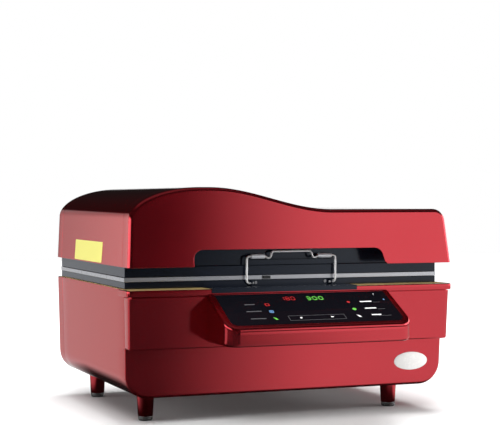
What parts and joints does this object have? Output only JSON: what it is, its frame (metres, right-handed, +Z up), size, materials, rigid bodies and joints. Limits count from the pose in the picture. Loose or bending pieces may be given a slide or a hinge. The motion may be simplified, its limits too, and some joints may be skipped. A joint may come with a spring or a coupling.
{
  "type": "vacuum sublimation heat press",
  "caption": "Benchtop vacuum oven press: a boxy base with a sloping touch-control nose, a hinged membrane frame, a hinged humped heating lid and a wire bail latch.",
  "frame": {"origin": "middle of the bounding box, on the floor under the feet", "axes": "+X to the right seen from the front, +Y from the control nose to the hinges, +Z up"},
  "size_m": [0.6, 0.601, 0.4002],
  "materials": {
    "red_paint": "gloss metallic",
    "red_cover": "gloss metallic",
    "dark_frame": "satin",
    "gold_deck": "satin",
    "aluminium": "satin",
    "plate": "brushed",
    "steel": "brushed",
    "chrome": "polished",
    "silicone": "matte",
    "black_rubber": "matte",
    "grey_tip": "matte",
    "touch_glass": "gloss",
    "board": "matte",
    "white_badge": "gloss",
    "yellow_label": "matte",
    "brass": "satin",
    "black_plastic": "matte",
    "switch_red": "gloss",
    "motor": "satin",
    "wool": "matte",
    "heater": "satin",
    "light_metal": "satin"
  },
  "bodies": {
    "base": {"base_shell": "red_paint", "base_front_cover": "red_cover", "lower_front_panel": "red_paint", "base_rear_cover": "red_cover", "deck_plate": "gold_deck", "vacuum_tray": "dark_frame", "tray_pan": "dark_frame", "work_plate": "plate", "tray_gasket": "black_rubber", "tray_nozzle": "brass", "foot_front_left": "red_paint", "foot_front_right": "red_paint", "foot_rear_left": "red_paint", "foot_rear_right": "red_paint", "tip_front_left": "grey_tip", "tip_front_right": "grey_tip", "tip_rear_left": "grey_tip", "tip_rear_right": "grey_tip", "control_housing": "red_cover", "control_bezel": "red_cover", "control_glass": "touch_glass", "control_board": "board", "oval_badge": "white_badge", "vacuum_pump": "motor", "pump_bracket": "steel", "vacuum_hose": "black_rubber", "solenoid_valve": "brass", "transformer": "motor", "cooling_fan_frame": "black_plastic", "fan_guard": "chrome", "power_inlet": "black_plastic", "switch_bezel": "black_plastic", "bail_bracket": "dark_frame", "bail_screws": "steel", "hinge_brackets": "dark_frame", "hinge_pins": "steel"},
    "membrane": {"membrane_frame": "aluminium", "membrane_sheet": "silicone", "membrane_clamp": "steel", "clamp_screws": "steel", "pull_tab": "black_rubber", "membrane_hinge_leaves": "steel"},
    "lid": {"lid_front_cover": "red_cover", "lid_shell": "red_paint", "lid_rear_cover": "red_cover", "lid_frame": "dark_frame", "latch_keeper": "steel", "side_label": "yellow_label", "oven_liner": "steel", "insulation": "wool", "heater_tubes": "heater", "heater_guard": "steel", "circulation_motor": "light_metal", "lid_hinge_leaves": "dark_frame"},
    "impeller": {"circulation_impeller": "light_metal"},
    "bail": {"latch_bail": "chrome"},
    "left_sleeve": {"sleeve_left": "aluminium"},
    "right_sleeve": {"sleeve_right": "aluminium"},
    "fan_rotor": {"cooling_fan_rotor": "black_plastic"},
    "rocker": {"rocker_switch": "switch_red"}
  },
  "joints": [
    {"name": "membrane_hinge", "type": "hinge", "parent": "base", "child": "membrane", "pos_m": [0, 0.2935, 0.2458], "axis": [-1, 0, 0], "range_deg": [0, 50]},
    {"name": "lid_hinge", "type": "hinge", "parent": "membrane", "child": "lid", "pos_m": [0, 0.2935, 0.2458], "axis": [-1, 0, 0], "range_deg": [0, 75]},
    {"name": "bail_swing", "type": "hinge", "parent": "base", "child": "bail", "pos_m": [0.0065, -0.1619, 0.2362], "axis": [1, 0, 0], "range_deg": [-7.5, 88]},
    {"name": "left_sleeve_turn", "type": "hinge", "parent": "bail", "child": "left_sleeve", "pos_m": [-0.056, -0.1619, 0.2822], "axis": [1, 0, 0], "continuous": true},
    {"name": "right_sleeve_turn", "type": "hinge", "parent": "bail", "child": "right_sleeve", "pos_m": [0.069, -0.1619, 0.2822], "axis": [1, 0, 0], "continuous": true},
    {"name": "impeller_spin", "type": "hinge", "parent": "lid", "child": "impeller", "pos_m": [-0.14496, 0.06, 0.356], "axis": [0, 0, 1], "continuous": true},
    {"name": "cooling_fan_spin", "type": "hinge", "parent": "base", "child": "fan_rotor", "pos_m": [-0.15, 0.2645, 0.137], "axis": [0, 1, 0], "continuous": true},
    {"name": "rocker_tilt", "type": "hinge", "parent": "base", "child": "rocker", "pos_m": [0.13, 0.2755, 0.085], "axis": [1, 0, 0], "range_deg": [0, 20]}
  ]
}
